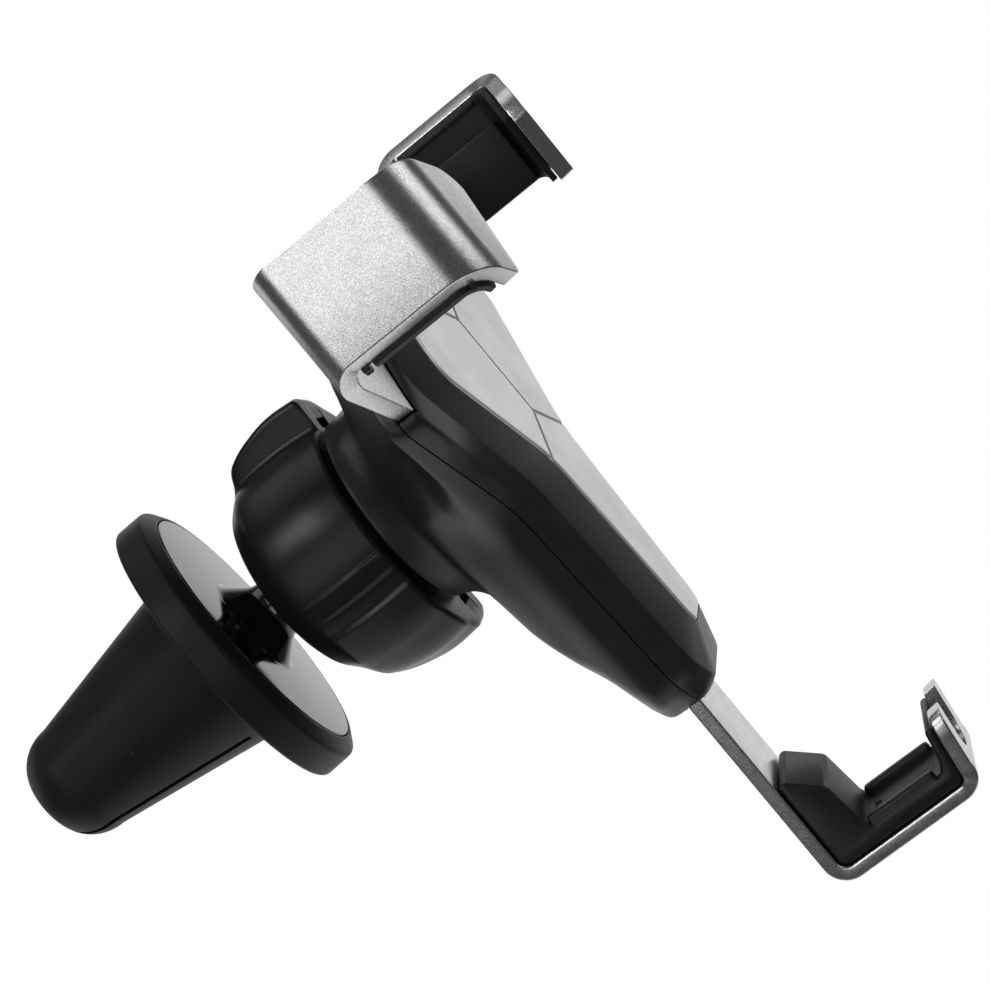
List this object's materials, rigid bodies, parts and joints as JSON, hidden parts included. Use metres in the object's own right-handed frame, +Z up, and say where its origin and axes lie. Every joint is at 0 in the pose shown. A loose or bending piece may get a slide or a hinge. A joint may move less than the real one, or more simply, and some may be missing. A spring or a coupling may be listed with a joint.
{
  "type": "air vent phone holder",
  "caption": "Air vent phone holder: Y-shaped housing with slanted sliding grip arms and a sprung foot, on a clamped ball joint behind a slotted rubber vent plug",
  "frame": {"origin": "Centre of the vent flange's rear face on the axis of the vent plug, where the holder meets the vent", "axes": "+Z up, -Y out of the face plate towards the person, X across the grip arms. The housing is square to the axes and the vent clip stands swivelled about Z, as in the picture"},
  "size_m": [0.091, 0.0864, 0.0941],
  "materials": {
    "vent_plug": "matt black silicone",
    "ball_stud": "satin black moulded plastic",
    "friction_pad": "natural acetal, self-coloured",
    "compression_ring": "natural acetal, self-coloured",
    "rear_shell": "fine matt black moulded plastic",
    "front_shell": "fine matt black moulded plastic",
    "face_plate": "satin silver lacquer",
    "clamp_nut": "satin black moulded plastic",
    "housing_screw_left": "zinc plated",
    "housing_screw_right": "zinc plated",
    "left_arm": "bead blasted and clear anodised",
    "right_arm": "bead blasted and clear anodised",
    "left_arm_pad": "black rubber",
    "right_arm_pad": "black rubber",
    "left_arm_pin": "turned steel",
    "right_arm_pin": "turned steel",
    "left_pin_clip": "spring steel",
    "right_pin_clip": "spring steel",
    "slide_carriage": "natural acetal, self-coloured",
    "foot_bracket": "bead blasted and clear anodised",
    "foot_pad": "black rubber",
    "foot_rivet_upper": "zinc plated",
    "foot_rivet_lower": "zinc plated",
    "return_spring": "spring steel wire",
    "spring_post": "turned steel"
  },
  "bodies": {
    "vent_clip": {"vent_plug": "vent_plug", "ball_stud": "ball_stud"},
    "ball_cup": {"friction_pad": "friction_pad"},
    "ball_ring": {"compression_ring": "compression_ring"},
    "head": {"rear_shell": "rear_shell", "front_shell": "front_shell", "face_plate": "face_plate", "housing_screw_left": "housing_screw_left", "housing_screw_right": "housing_screw_right", "return_spring": "return_spring", "spring_post": "spring_post"},
    "nut": {"clamp_nut": "clamp_nut"},
    "foot": {"slide_carriage": "slide_carriage", "foot_bracket": "foot_bracket", "foot_pad": "foot_pad", "foot_rivet_upper": "foot_rivet_upper", "foot_rivet_lower": "foot_rivet_lower"},
    "left_grip": {"left_arm": "left_arm", "left_arm_pad": "left_arm_pad", "left_arm_pin": "left_arm_pin", "left_pin_clip": "left_pin_clip"},
    "right_grip": {"right_arm": "right_arm", "right_arm_pad": "right_arm_pad", "right_arm_pin": "right_arm_pin", "right_pin_clip": "right_pin_clip"}
  },
  "joints": [
    {"name": "ball_pan", "type": "hinge", "parent": "vent_clip", "child": "ball_cup", "pos_m": [0.00237, -0.01622, 0.00052], "axis": [0, 0, 1], "range_deg": [-11.7, 28.3]},
    {"name": "ball_tilt", "type": "hinge", "parent": "ball_cup", "child": "ball_ring", "pos_m": [0.00237, -0.01622, 0.00052], "axis": [1, 0, 0], "range_deg": [-20, 18]},
    {"name": "ball_roll", "type": "hinge", "parent": "ball_ring", "child": "head", "pos_m": [0.00237, -0.01622, 0.00052], "axis": [0, 1, 0], "continuous": true},
    {"name": "nut_turn", "type": "hinge", "parent": "head", "child": "nut", "pos_m": [0.00237, -0.01767, 0.00052], "axis": [0, 1, 0], "range_deg": [0, 330]},
    {"name": "foot_slide", "type": "slide", "parent": "head", "child": "foot", "axis": [0, 0, -1], "range_m": [0, 0.0058], "stiffness_N_per_m": 60, "springref_m": -0.012, "deforming": ["return_spring"]},
    {"name": "left_arm_slide", "type": "slide", "parent": "head", "child": "left_grip", "axis": [0.8838, 0, -0.4679], "range_m": [0, 0.01239]},
    {"name": "right_arm_slide", "type": "slide", "parent": "head", "child": "right_grip", "axis": [-0.8838, 0, -0.4679], "range_m": [0, 0.01239]}
  ],
  "couplings": [
    {"joint": "left_arm_slide", "follows": "foot_slide", "ratio": 2.137},
    {"joint": "right_arm_slide", "follows": "foot_slide", "ratio": 2.137}
  ]
}
